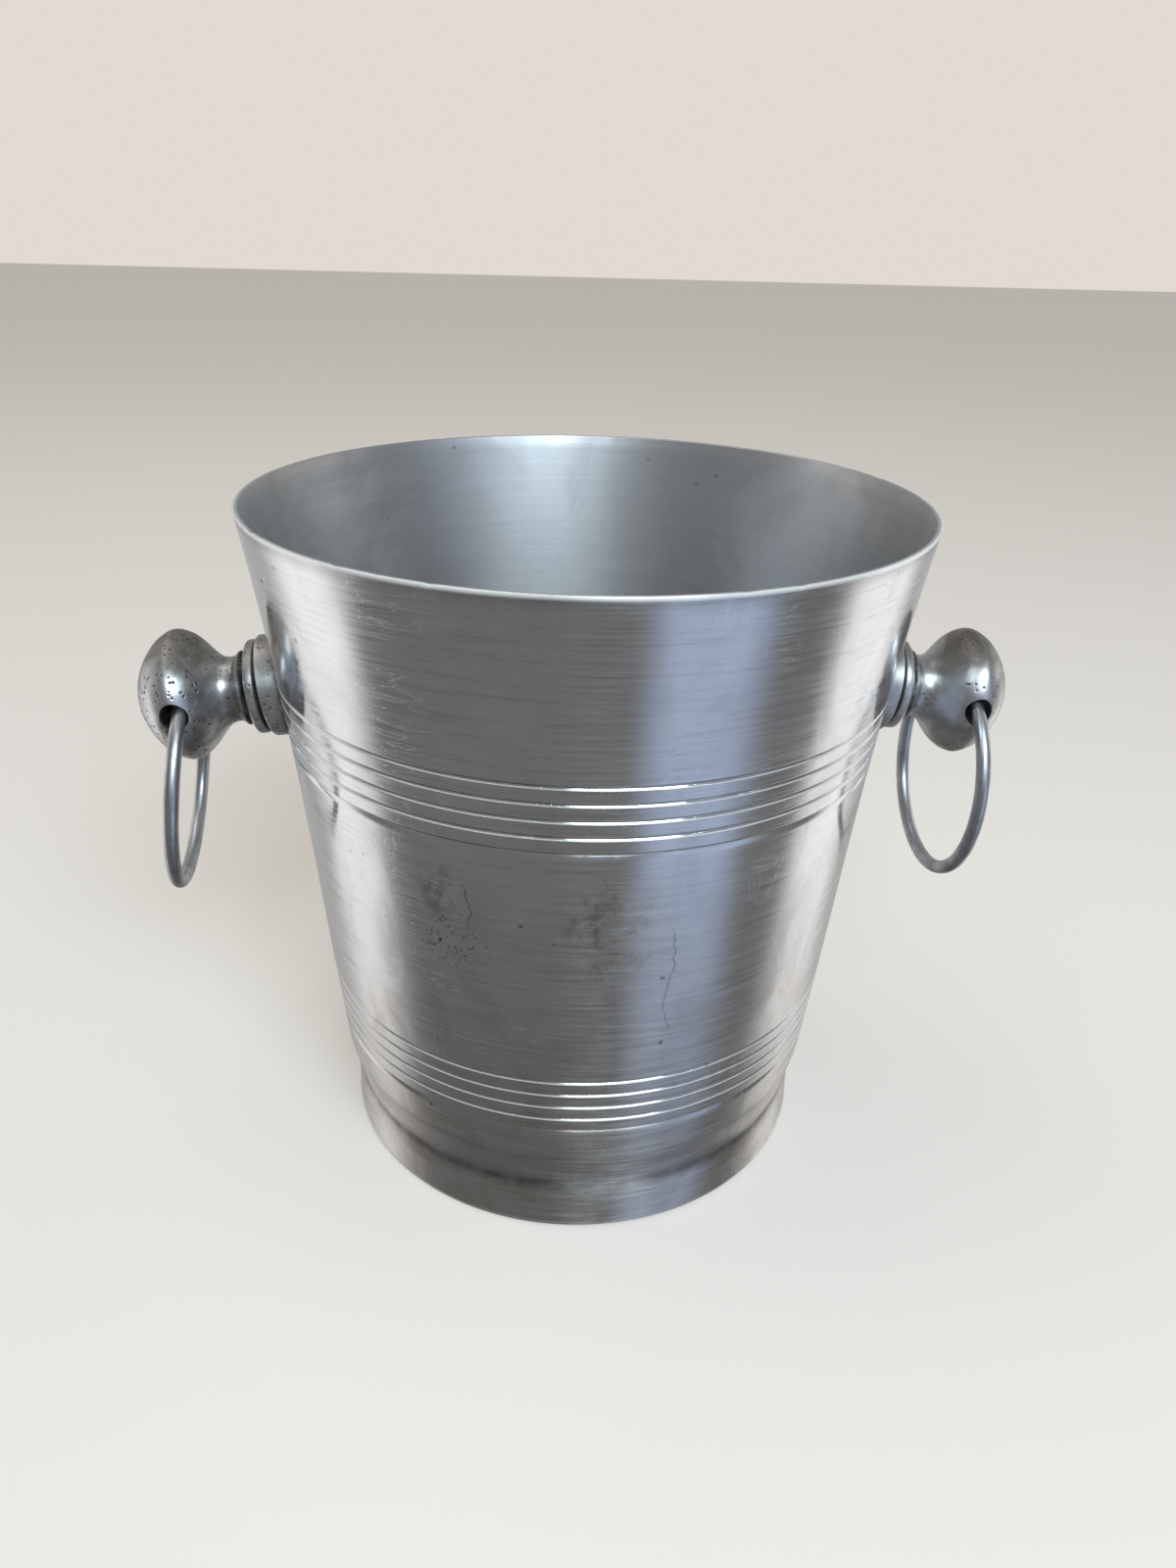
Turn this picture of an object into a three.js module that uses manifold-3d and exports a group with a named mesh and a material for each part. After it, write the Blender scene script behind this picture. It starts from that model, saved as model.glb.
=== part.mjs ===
// Champagne bucket in spun aluminium: a flared wall with two bands of turned grooves, and on
// each side a cast knob that holds a loose wire ring.
// Millimetres, +Z up. The origin is the centre of the base plane, the knobs lie along X, and
// +X is the right hand of someone who stands at -Y.
import * as THREE from "three";
import { mergeVertices } from "three/addons/utils/BufferGeometryUtils.js";
import Module from "manifold-3d";

// ---- driving dimensions ----
const RIM_R = 100; // outer radius at the rim
const HEIGHT = 210; // base plane to rim
const WALL = 1.5; // sheet thickness
const WALL_FOOT_R = 76.244; // outer radius that the wall's line has at the base plane
const KNOB_Z = 151.62; // height of the knobs' screw holes
const COLLAR_REACH = 6.5; // wall to the knob's collar, filled by the spacer
const BULB_R = 20; // largest radius of the knob's bulb
const RING_R = 33.2; // ring, centre of the wire
const WIRE_R = 2.2; // radius of the ring's wire
const SCREW_R = 2.5; // radius of the screw's shank

// ---- named clearances and small features ----
const GAP = 0.3; // between pieces that meet
const HOLE_PLAY = 0.3; // screw shank in its clearance hole
const EYE_PLAY = 0.7; // ring wire in the eye, where it comes closest
// How each loose ring lies at rest: swung outwards, and turned about the upright.
const RING_LIE = { left: { out: 7, twist: 4 }, right: { out: -1.7, twist: 0 } };
const GROOVE_HALF = 0.65; // half width of a turned groove
const GROOVE_DEPTH = 0.5;
const GROOVE_PITCH = 4.893;
const GROOVES_PER_BAND = 5;
const BAND_TOPS = [160.608, 62.202]; // height of each band's top groove
const SHOULDER_Z = 32; // the wall tucks in below this height
const TUCK = 1.3; // how far it has tucked in at the cove
const FOOT_PROUD = 1.5; // foot radius over the wall's lower end
const COVE_Z = 17; // soft cove over the foot
const COVE_HALF = 4;
const COVE_DEPTH = 0.4;
const BASE_RECESS = 1.2; // the middle of the underside is raised by this
const FLOOR = 1.8;
const FILLET = 9; // inside corner of the floor
const BULB_WALL = 2; // thickness of the cast bulb
const SHELL_SEGMENTS = 56;
const KNOB_SEGMENTS = 32;

// Outer radius of the plain wall at height z.
function wallR(z) {
  const s = z / HEIGHT;
  const bow = 0.1846 * s * (s - 1) + 0.8126 * s * (s - 1) * (s - 0.5);
  return WALL_FOOT_R + (RIM_R - WALL_FOOT_R) * (s + bow);
}

// How far the sheet is tucked in over the foot at height z.
function tuck(z) {
  const t = Math.min(1, Math.max(0, (SHOULDER_Z - z) / (SHOULDER_Z - COVE_Z - COVE_HALF)));
  return TUCK * t * t * (3 - 2 * t);
}

// The two sides, each with its turn about Z.
const SIDES = [
  ["left", Math.PI],
  ["right", 0],
];

const wasm = await Module();
wasm.setup();

function toManifold(geometry, matrix) {
  const g = geometry.clone();
  if (matrix) g.applyMatrix4(matrix);
  g.deleteAttribute("normal");
  g.deleteAttribute("uv");
  const merged = mergeVertices(g, 1e-5);
  return new wasm.Manifold(
    new wasm.Mesh({
      numProp: 3,
      vertProperties: new Float32Array(merged.attributes.position.array),
      triVerts: new Uint32Array(merged.index.array),
    }),
  );
}

function toGeometry(solid) {
  const out = solid.getMesh();
  const g = new THREE.BufferGeometry();
  g.setAttribute("position", new THREE.BufferAttribute(new Float32Array(out.vertProperties), 3));
  g.setIndex(new THREE.BufferAttribute(new Uint32Array(out.triVerts), 1));
  g.computeVertexNormals();
  return g;
}

// A lathed solid about Z from [radius, height] pairs that rise up the outside.
function lathe(pairs, segments) {
  const points = pairs.map(([r, z]) => new THREE.Vector2(r, z));
  const g = new THREE.LatheGeometry(points, segments);
  g.rotateX(Math.PI / 2);
  return g;
}

// A lathed solid about X from [distance along X, radius] pairs, outwards from the bucket.
function latheX(pairs, segments) {
  const g = lathe(pairs.map(([x, r]) => [r, x]), segments);
  g.rotateY(Math.PI / 2);
  return g;
}

// A round bar along X, centred on Y and Z.
function barX(radius, from, to, segments = 24) {
  const g = new THREE.CylinderGeometry(radius, radius, to - from, segments);
  g.rotateZ(-Math.PI / 2);
  g.translate((from + to) / 2, 0, 0);
  return g;
}

// ---- shell ----
function grooveHeights() {
  const list = [];
  for (const top of BAND_TOPS) {
    for (let i = 0; i < GROOVES_PER_BAND; i += 1) list.push(top - i * GROOVE_PITCH);
  }
  return list.sort((a, b) => a - b);
}

function outerProfile() {
  const footR = WALL_FOOT_R + FOOT_PROUD;
  const coveR = wallR(COVE_Z) - TUCK - COVE_DEPTH;
  const rim = 0.4;
  const pairs = [
    [footR - 1.5, 0],
    [footR - 0.45, 0.45],
    [footR, 1.5],
    [footR, COVE_Z - COVE_HALF - 2],
    [coveR + 0.15, COVE_Z - COVE_HALF / 2],
    [coveR, COVE_Z],
    [wallR(COVE_Z + COVE_HALF) - TUCK, COVE_Z + COVE_HALF],
  ];
  const grooves = grooveHeights();
  const plain = [24, 27, 30, 75, 90, 105, 120, 131, 172, 184, 196].map((z) => (z / 210) * HEIGHT);
  const marks = [...plain.map((z) => [z, false]), ...grooves.map((z) => [z, true])];
  marks.sort((a, b) => a[0] - b[0]);
  for (const [z, cut] of marks) {
    if (cut) {
      pairs.push([wallR(z - GROOVE_HALF), z - GROOVE_HALF]);
      pairs.push([wallR(z) - GROOVE_DEPTH, z]);
      pairs.push([wallR(z + GROOVE_HALF), z + GROOVE_HALF]);
    } else {
      pairs.push([wallR(z) - tuck(z), z]);
    }
  }
  pairs.push([wallR(HEIGHT - rim), HEIGHT - rim]);
  pairs.push([RIM_R - rim, HEIGHT]);
  return pairs;
}

function innerR(z) {
  return wallR(z) - tuck(z) - WALL - GROOVE_DEPTH * 0.6;
}

function makeShell() {
  const floorTop = BASE_RECESS + FLOOR;
  const recessR = WALL_FOOT_R * 0.86;
  const pairs = [[0, BASE_RECESS], [recessR - 2, BASE_RECESS], [recessR, 0], ...outerProfile()];
  pairs.push([RIM_R - 0.4 - WALL * 0.6, HEIGHT]);
  pairs.push([RIM_R - WALL - 0.15, HEIGHT - 0.5]);
  for (const share of [0.96, 0.86, 0.72, 0.56, 0.4, 0.24, 0.155, 0.135, 0.115, 0.09]) {
    pairs.push([innerR(share * HEIGHT), share * HEIGHT]);
  }
  const wallEnd = innerR(floorTop + FILLET);
  for (let i = 0; i <= 4; i += 1) {
    const a = (i / 4) * (Math.PI / 2);
    pairs.push([
      wallEnd - FILLET + FILLET * Math.cos(a),
      floorTop + FILLET - FILLET * Math.sin(a),
    ]);
  }
  pairs.push([0, floorTop]);
  let solid = toManifold(lathe(pairs, SHELL_SEGMENTS));
  for (const [, turn] of SIDES) {
    const drill = barX(SCREW_R + HOLE_PLAY, -12, 12);
    solid = solid.subtract(toManifold(drill, mountMatrix(turn)));
  }
  return toGeometry(solid);
}

// ---- knob mount line ----
// The knob stands square to the flared wall, so its axis droops outwards. Distances along
// that axis are counted from the wall's outer surface.
const U = BULB_R / 20; // the knob's own unit
const WALL_X = wallR(KNOB_Z);
const DROOP = Math.atan((wallR(KNOB_Z + 8) - wallR(KNOB_Z - 8)) / 16);
const COLLAR_X = COLLAR_REACH; // inner face of the knob's collar
const EYE_X = COLLAR_X + 23.3 * U; // the eye drilled across the bulb
const CREASE_X = EYE_X + 0.6 * U; // where the bulb is widest
const COLLAR_R = 14.4 * U;
const SPACER_R = 15.6 * U;
const NECK_R = 9.9 * U;
const DOME_END = EYE_X + 14.1 * U;

// The ring crosses the eye's axis in the middle of the bulb's wall, so it swings about it.
const CROSS_Y = BULB_R - 1.5;
const RING_DROP = Math.sqrt(RING_R ** 2 - CROSS_Y ** 2);

// Widest reach of the wire from the eye's axis: at the eye's mouth, at its inner end, and at
// the top of the ring inside the hollow bulb.
const MOUTH_REACH = RING_DROP - Math.sqrt((RING_R - WIRE_R) ** 2 - (BULB_R - 0.6) ** 2);
const INNER_REACH =
  Math.sqrt((RING_R + WIRE_R) ** 2 - (BULB_R - BULB_WALL - 0.2) ** 2) - RING_DROP;
const TOP_REACH = RING_R + WIRE_R - RING_DROP;
const TWIST = (Math.max(RING_LIE.left.twist, RING_LIE.right.twist) * Math.PI) / 180;
const EYE_R = Math.max(MOUTH_REACH, INNER_REACH) + EYE_PLAY;
const MOUTH_R = EYE_R + 0.5 * CROSS_Y * Math.sin(TWIST) + 0.3;
const CAVITY_START = EYE_X - TOP_REACH - 3 * EYE_PLAY;
const BORE_END = CAVITY_START - 2.3;

// The cast knob: collar, groove, waisted neck, and a bulb that ends in a low dome.
const KNOB_PROFILE = [
  [COLLAR_X, 0],
  [COLLAR_X, COLLAR_R - 0.5],
  [COLLAR_X + 0.5, COLLAR_R],
  [COLLAR_X + 2.8 * U, COLLAR_R],
  [COLLAR_X + 3.4 * U, COLLAR_R - 0.7 * U],
  [COLLAR_X + 3.7 * U, NECK_R + 1.4 * U],
  [COLLAR_X + 5.2 * U, NECK_R + 1.1 * U],
  [COLLAR_X + 5.6 * U, NECK_R + 1.5 * U],
  [COLLAR_X + 6.4 * U, NECK_R + 0.6 * U],
  [CREASE_X - 16 * U, NECK_R],
  [CREASE_X - 13.4 * U, NECK_R + 0.35 * U],
  [CREASE_X - 11.6 * U, 11.3 * U],
  [CREASE_X - 9.8 * U, 12.9 * U],
  [CREASE_X - 7.4 * U, 15.6 * U],
  [CREASE_X - 5 * U, 17.9 * U],
  [CREASE_X - 2.4 * U, 19.5 * U],
  [CREASE_X, BULB_R],
  [CREASE_X + 2.2 * U, 19.4 * U],
  [CREASE_X + 5 * U, 17.7 * U],
  [CREASE_X + 7.6 * U, 15.1 * U],
  [CREASE_X + 10 * U, 11.8 * U],
  [CREASE_X + 12 * U, 7.8 * U],
  [CREASE_X + 13 * U, 4.4 * U],
  [DOME_END, 0],
];

function cavityProfile() {
  const pairs = [[CAVITY_START, 0]];
  pairs.push([CAVITY_START, 9 * U]);
  for (const [x, r] of KNOB_PROFILE) {
    if (x > CREASE_X - 8 * U && x < CREASE_X + 9 * U) pairs.push([x, r - BULB_WALL]);
  }
  pairs.push([CREASE_X + 10.6 * U, 7.4 * U]);
  pairs.push([CREASE_X + 11.4 * U, 0]);
  return pairs;
}

// The eye is a straight hole with worn, flared mouths.
function eyeCutter() {
  const flare = BULB_R - 1.4;
  const end = BULB_R + 5;
  const mouth = MOUTH_R + ((end - flare) * (MOUTH_R - EYE_R)) / (BULB_R - flare);
  const pairs = [
    [0, -end],
    [mouth, -end],
    [EYE_R, -flare],
    [EYE_R, flare],
    [mouth, end],
    [0, end],
  ];
  const g = lathe(pairs, 28);
  g.rotateX(Math.PI / 2);
  g.translate(EYE_X, 0, 0);
  return g;
}

function makeKnob() {
  let solid = toManifold(latheX(KNOB_PROFILE, KNOB_SEGMENTS));
  solid = solid.subtract(toManifold(latheX(cavityProfile(), 24)));
  solid = solid.subtract(toManifold(eyeCutter()));
  const bore = barX(SCREW_R + GAP, COLLAR_X - 5, BORE_END);
  solid = solid.subtract(toManifold(bore));
  return toGeometry(solid);
}

// The mount's frame in the bucket: its origin is on the wall, and X is the wall's normal.
function mountMatrix(turn) {
  return new THREE.Matrix4()
    .makeRotationZ(turn)
    .multiply(new THREE.Matrix4().makeTranslation(WALL_X, 0, KNOB_Z))
    .multiply(new THREE.Matrix4().makeRotationY(DROOP));
}

// The spacer's back is saddled to the wall. Its face leans a little more than the collar, so
// the seam between them opens towards the bottom.
function makeSpacer() {
  const lean = 0.045;
  const length = 24;
  const blank = new THREE.CylinderGeometry(SPACER_R, SPACER_R, length, KNOB_SEGMENTS);
  blank.rotateZ(-Math.PI / 2);
  blank.translate(-length / 2, 0, 0);
  blank.rotateY(lean);
  blank.translate(COLLAR_X - GAP - Math.tan(lean) * COLLAR_R - 0.1, 0, 0);
  const low = KNOB_Z - 60;
  const pairs = [[0, low]];
  for (let z = low; z <= KNOB_Z + 40; z += 10) pairs.push([wallR(z) + GAP, z]);
  pairs.push([0, KNOB_Z + 40]);
  const toMount = mountMatrix(0).invert();
  let solid = toManifold(blank).subtract(toManifold(lathe(pairs, SHELL_SEGMENTS * 2), toMount));
  solid = solid.subtract(toManifold(barX(SCREW_R + HOLE_PLAY, -10, COLLAR_X + 5)));
  return toGeometry(solid);
}

// ---- washer and screw inside the wall ----
const WASHER_R = 8;
const WASHER_T = 1.4;
const HEAD_R = 5.2;
const HEAD_T = 3;
// The washer is flat and the wall is curved, so the washer touches at its two ends.
const INNER_WALL_R = innerR(KNOB_Z) - 0.5;
const WASHER_SAG = INNER_WALL_R - Math.sqrt(INNER_WALL_R ** 2 - WASHER_R ** 2);
const WASHER_FACE = innerR(KNOB_Z) - WALL_X - WASHER_SAG - GAP;
const HEAD_FACE = WASHER_FACE - WASHER_T - GAP;

function makeWasher() {
  const holeR = SCREW_R + HOLE_PLAY;
  const x0 = WASHER_FACE - WASHER_T;
  const pairs = [
    [x0, holeR],
    [x0, WASHER_R - 0.3],
    [x0 + 0.3, WASHER_R],
    [WASHER_FACE - 0.3, WASHER_R],
    [WASHER_FACE, WASHER_R - 0.3],
    [WASHER_FACE, holeR],
    [x0, holeR],
  ];
  return latheX(pairs, KNOB_SEGMENTS);
}

function makeScrew() {
  const x0 = HEAD_FACE - HEAD_T;
  const pairs = [
    [x0, 0],
    [x0, HEAD_R * 0.5],
    [x0 + 0.5, HEAD_R * 0.82],
    [x0 + 1.4, HEAD_R],
    [HEAD_FACE, HEAD_R],
    [HEAD_FACE, SCREW_R],
    [BORE_END - 1.6, SCREW_R],
    [BORE_END - 0.8, SCREW_R - 0.8],
    [BORE_END - 0.8, 0],
  ];
  const slot = new THREE.BoxGeometry(1.4, 12, 1.2);
  slot.translate(x0 + 0.6, 0, 0);
  return toGeometry(toManifold(latheX(pairs, 24)).subtract(toManifold(slot)));
}

// ---- ring ----
function makeRing(lie) {
  const g = new THREE.TorusGeometry(RING_R, WIRE_R, 12, 64);
  g.rotateY(Math.PI / 2);
  g.translate(0, 0, -RING_DROP);
  g.rotateZ((lie.twist * Math.PI) / 180);
  g.rotateY((-lie.out * Math.PI) / 180);
  return g;
}

// ---- materials ----
const polished = (slot, colour, roughness) =>
  new THREE.MeshStandardMaterial({ name: slot, color: colour, roughness, metalness: 1 });
const SHELL_METAL = polished("spun_aluminium", 0xb4b1ac, 0.3);
const KNOB_METAL = polished("cast_aluminium", 0xa8a6a3, 0.35);
const RING_METAL = polished("ring_wire", 0x8e8f92, 0.3);
const SCREW_METAL = polished("fastener_steel", 0x85837e, 0.45);

// ---- assembly ----
const bucket = new THREE.Group();
bucket.name = "champagne_bucket";

function add(parent, name, geometry, material) {
  const mesh = new THREE.Mesh(geometry, material);
  mesh.name = name;
  parent.add(mesh);
  return mesh;
}

add(bucket, "bucket_shell", makeShell(), SHELL_METAL);

for (const [side, turn] of SIDES) {
  const handle = new THREE.Group();
  handle.name = `handle_${side}`;
  handle.applyMatrix4(mountMatrix(turn));
  bucket.add(handle);
  add(handle, `knob_${side}`, makeKnob(), KNOB_METAL);
  add(handle, `spacer_${side}`, makeSpacer(), KNOB_METAL);
  add(handle, `washer_${side}`, makeWasher(), SCREW_METAL);
  add(handle, `screw_${side}`, makeScrew(), SCREW_METAL);

  // The ring hangs from the eye by its own weight, so it doesn't lean with the knob.
  const eye = new THREE.Vector3(EYE_X, 0, 0).applyMatrix4(mountMatrix(turn));
  const ring = add(bucket, `ring_${side}`, makeRing(RING_LIE[side]), RING_METAL);
  ring.rotation.z = turn;
  ring.position.copy(eye);
}

export default bucket;
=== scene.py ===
"""Champagne bucket in spun aluminium with two cast knobs and two loose rings."""
import math
import random

import bmesh
import bpy
from mathutils import Matrix, Vector, noise


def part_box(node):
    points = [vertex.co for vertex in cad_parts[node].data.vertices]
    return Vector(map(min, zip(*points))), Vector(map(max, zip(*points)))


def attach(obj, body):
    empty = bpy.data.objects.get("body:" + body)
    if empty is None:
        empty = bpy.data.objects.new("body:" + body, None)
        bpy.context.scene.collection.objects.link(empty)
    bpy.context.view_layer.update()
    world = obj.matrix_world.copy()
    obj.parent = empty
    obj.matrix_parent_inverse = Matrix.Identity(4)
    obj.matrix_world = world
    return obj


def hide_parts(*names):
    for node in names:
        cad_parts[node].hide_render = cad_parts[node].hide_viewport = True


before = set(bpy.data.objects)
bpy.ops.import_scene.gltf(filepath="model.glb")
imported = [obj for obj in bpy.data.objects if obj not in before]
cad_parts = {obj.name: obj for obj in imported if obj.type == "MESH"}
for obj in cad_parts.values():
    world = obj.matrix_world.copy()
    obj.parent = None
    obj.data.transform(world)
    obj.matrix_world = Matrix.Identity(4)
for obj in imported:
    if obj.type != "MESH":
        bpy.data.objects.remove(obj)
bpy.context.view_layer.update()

MM = 0.001
TAU = 2 * math.pi

# ---- sizes, from the CAD frame ----
_, shell_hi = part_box("bucket_shell")
knob_lo, knob_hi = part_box("knob_right")
ring_lo, ring_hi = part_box("ring_right")

RIM_R = shell_hi.x / MM
HEIGHT = shell_hi.z / MM
WALL_FOOT_R = RIM_R * 0.76244
WALL = 1.5
SHOULDER_Z, TUCK = 32.0, 1.3
FOOT_PROUD = 1.15
COVE_Z, COVE_HALF, COVE_DEPTH = 17.0, 4.0, 0.25
GROOVE_HALF, GROOVE_DEPTH = 0.65, 0.5
GROOVE_PITCH = HEIGHT * 0.0233
GROOVES_PER_BAND = 5
BAND_TOPS = (HEIGHT * 0.7648, HEIGHT * 0.2962)
BASE_RECESS, FLOOR, FILLET = 1.2, 1.8, 9.0
KNOB_Z = HEIGHT * 0.722
BULB_R = (knob_hi.y - knob_lo.y) / 2 / MM
COLLAR_X = 6.5
COLLAR_R = 14.4
EYE_X = COLLAR_X + 23.3
CREASE_X = EYE_X + 0.6
WIRE_R = 2.2
RING_R = (ring_hi.y - ring_lo.y) / 2 / MM - WIRE_R
RING_LIE = {-1: (7.0, 4.0), 1: (-1.7, 0.0)}
RING_DROP = math.sqrt(RING_R**2 - (BULB_R - 1.5) ** 2)
EYE_R = 4.09
MOUTH_R = 5.0
SPACER_R = 15.6
SHANK_R = 2.5
HOLE_R = 2.8
WASHER_R = 8.0
HEAD_R = 5.2
WASHER_T = 1.4


def smooth(t):
    t = max(0.0, min(1.0, t))
    return t * t * (3 - 2 * t)


def wall_r(z):
    """Outer radius of the plain wall at height z, in millimetres."""
    s = z / HEIGHT
    bow = 0.1846 * s * (s - 1) + 0.8126 * s * (s - 1) * (s - 0.5)
    return WALL_FOOT_R + (RIM_R - WALL_FOOT_R) * (s + bow)


def tuck(z):
    """How far the wall is tucked in over the foot at height z."""
    return TUCK * smooth((SHOULDER_Z - z) / (SHOULDER_Z - COVE_Z - COVE_HALF))


def groove_heights():
    return sorted(
        top - i * GROOVE_PITCH for top in BAND_TOPS for i in range(GROOVES_PER_BAND)
    )


GROOVES = groove_heights()

# the knobs stand square to the flared wall
WALL_X = wall_r(KNOB_Z)
DROOP = math.atan((wall_r(KNOB_Z + 8) - wall_r(KNOB_Z - 8)) / 16)
EYE_OUT = WALL_X + EYE_X * math.cos(DROOP)
EYE_Z = KNOB_Z - EYE_X * math.sin(DROOP)
INNER_R = WALL_X - WALL - 0.3
WASHER_FACE = -WALL - 0.3 - ((INNER_R - 0.5) - math.sqrt((INNER_R - 0.5) ** 2 - WASHER_R**2)) - 0.3


# ---- camera ----
HANDLE_TURN = math.radians(5.0)
CAM_BACK, CAM_UP = 0.33488, 0.28256
CAM_PITCH, CAM_YAW, CAM_ROLL = (math.radians(a) for a in (26.465, 0.402, 1.693))


def make_camera():
    data = bpy.data.cameras.new("camera")
    data.sensor_width = 36
    data.lens = 26.21
    data.clip_start = 0.01
    cam = bpy.data.objects.new("camera", data)
    bpy.context.scene.collection.objects.link(cam)
    fwd = Vector(
        (
            math.sin(CAM_YAW) * math.cos(CAM_PITCH),
            math.cos(CAM_YAW) * math.cos(CAM_PITCH),
            -math.sin(CAM_PITCH),
        )
    )
    right = Vector((math.cos(CAM_YAW), -math.sin(CAM_YAW), 0))
    up = right.cross(fwd)
    cr, sr = math.cos(CAM_ROLL), math.sin(CAM_ROLL)
    x_axis = cr * right + sr * up
    y_axis = cr * up - sr * right
    m = Matrix((x_axis, y_axis, -fwd)).transposed().to_4x4()
    m.translation = Vector((0, -CAM_BACK, CAM_UP))
    cam.matrix_world = Matrix.Rotation(-HANDLE_TURN, 4, "Z") @ m
    bpy.context.scene.camera = cam
    return cam


# ---- small node language ----
class Tree:
    """Adds nodes to one material or world tree; each method gives back an output socket."""

    def __init__(self, tree):
        self.tree = tree
        self.nodes, self.links = tree.nodes, tree.links
        self.nodes.clear()

    def put(self, socket, value):
        if isinstance(value, bpy.types.NodeSocket):
            self.links.new(value, socket)
        elif value is not None:
            socket.default_value = value

    def math(self, op, a, b=None, clamp=False):
        n = self.nodes.new("ShaderNodeMath")
        n.operation, n.use_clamp = op, clamp
        self.put(n.inputs[0], a)
        self.put(n.inputs[1], b)
        return n.outputs[0]

    def add(self, a, b):
        return self.math("ADD", a, b)

    def sub(self, a, b):
        return self.math("SUBTRACT", a, b)

    def mul(self, a, b):
        return self.math("MULTIPLY", a, b)

    def most(self, a, b):
        return self.math("MAXIMUM", a, b)

    def between(self, value, low, high, out_low=0.0, out_high=1.0, kind="SMOOTHSTEP"):
        n = self.nodes.new("ShaderNodeMapRange")
        n.interpolation_type = kind
        self.put(n.inputs["Value"], value)
        n.inputs["From Min"].default_value = low
        n.inputs["From Max"].default_value = high
        n.inputs["To Min"].default_value = out_low
        n.inputs["To Max"].default_value = out_high
        return n.outputs["Result"]

    def mix(self, fac, a, b, blend="MIX"):
        n = self.nodes.new("ShaderNodeMix")
        n.data_type, n.blend_type = "RGBA", blend
        self.put(n.inputs["Factor"], fac)
        for socket, value in ((n.inputs[6], a), (n.inputs[7], b)):
            self.put(socket, (*value, 1.0) if isinstance(value, tuple) else value)
        return n.outputs[2]

    def vector(self, x, y, z):
        n = self.nodes.new("ShaderNodeCombineXYZ")
        for i, v in enumerate((x, y, z)):
            self.put(n.inputs[i], v)
        return n.outputs[0]

    def split(self, vec):
        n = self.nodes.new("ShaderNodeSeparateXYZ")
        self.put(n.inputs[0], vec)
        return n.outputs[0], n.outputs[1], n.outputs[2]

    def coords(self, which="Object"):
        return self.nodes.new("ShaderNodeTexCoord").outputs[which]

    def noise(self, vec, scale, detail=2.0, rough=0.5, distort=0.0):
        n = self.nodes.new("ShaderNodeTexNoise")
        self.put(n.inputs["Vector"], vec)
        n.inputs["Scale"].default_value = scale
        n.inputs["Detail"].default_value = detail
        n.inputs["Roughness"].default_value = rough
        n.inputs["Distortion"].default_value = distort
        return n.outputs["Fac"]

    def voronoi(self, vec, scale, feature="F1", random_=1.0):
        n = self.nodes.new("ShaderNodeTexVoronoi")
        n.feature = feature
        self.put(n.inputs["Vector"], vec)
        n.inputs["Scale"].default_value = scale
        n.inputs["Randomness"].default_value = random_
        return n.outputs["Distance"]

    def attribute(self, name):
        n = self.nodes.new("ShaderNodeAttribute")
        n.attribute_name = name
        return n.outputs["Fac"]

    def bump(self, height, strength, distance, normal=None):
        n = self.nodes.new("ShaderNodeBump")
        n.inputs["Strength"].default_value = strength
        n.inputs["Distance"].default_value = distance
        self.put(n.inputs["Height"], height)
        self.put(n.inputs["Normal"], normal)
        return n.outputs[0]

    def tangent(self, axis):
        n = self.nodes.new("ShaderNodeTangent")
        n.direction_type, n.axis = "RADIAL", axis
        return n.outputs[0]

    def metal(self, colour, rough, normal, stretch=0.0, axis=None, turn=0.25, metallic=1.0):
        n = self.nodes.new("ShaderNodeBsdfPrincipled")
        self.put(n.inputs["Metallic"], metallic)
        self.put(n.inputs["Base Color"], colour)
        self.put(n.inputs["Roughness"], rough)
        self.put(n.inputs["Normal"], normal)
        if axis:
            n.inputs["Anisotropic"].default_value = stretch
            n.inputs["Anisotropic Rotation"].default_value = turn
            self.put(n.inputs["Tangent"], self.tangent(axis))
        out = self.nodes.new("ShaderNodeOutputMaterial")
        self.links.new(n.outputs[0], out.inputs[0])
        return n


def new_material(name):
    m = bpy.data.materials.new(name)
    m.use_nodes = True
    return m, Tree(m.node_tree)


def scaled(t, vec, x, y, z):
    """vec with each of its axes multiplied."""
    n = t.nodes.new("ShaderNodeVectorMath")
    n.operation = "MULTIPLY"
    t.put(n.inputs[0], vec)
    n.inputs[1].default_value = (x, y, z)
    return n.outputs[0]


def round_coords(t, around, along):
    """Coordinates for turning marks about Z: the bearing as a unit circle, and the height."""
    x, y, z = t.split(t.coords())
    r = t.math("SQRT", t.add(t.mul(x, x), t.mul(y, y)))
    r = t.most(r, 0.001)
    return t.vector(
        t.mul(t.math("DIVIDE", x, r), around),
        t.mul(t.math("DIVIDE", y, r), around),
        t.mul(z, along),
    )


def line_marks(t, vec, scale, width, warp=0.0):
    """Thin wandering lines: 1 on the line, 0 off it."""
    n = t.noise(vec, scale, 3.0, 0.55, warp)
    off = t.math("ABSOLUTE", t.sub(n, 0.5))
    return t.between(off, 0.0, width, 1.0, 0.0)


def patch_at(t, obj, turn, z, reach):
    """1 round one place on the wall, given by its bearing from the middle and its height."""
    a = math.radians(turn) - HANDLE_TURN
    r = wall_r(z)
    spot = Vector((r * math.sin(a), -r * math.cos(a), z)) * MM
    n = t.nodes.new("ShaderNodeVectorMath")
    n.operation = "DISTANCE"
    t.put(n.inputs[0], obj)
    n.inputs[1].default_value = spot
    return t.between(n.outputs["Value"], reach * 0.35 * MM, reach * MM, 1.0, 0.0)


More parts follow.
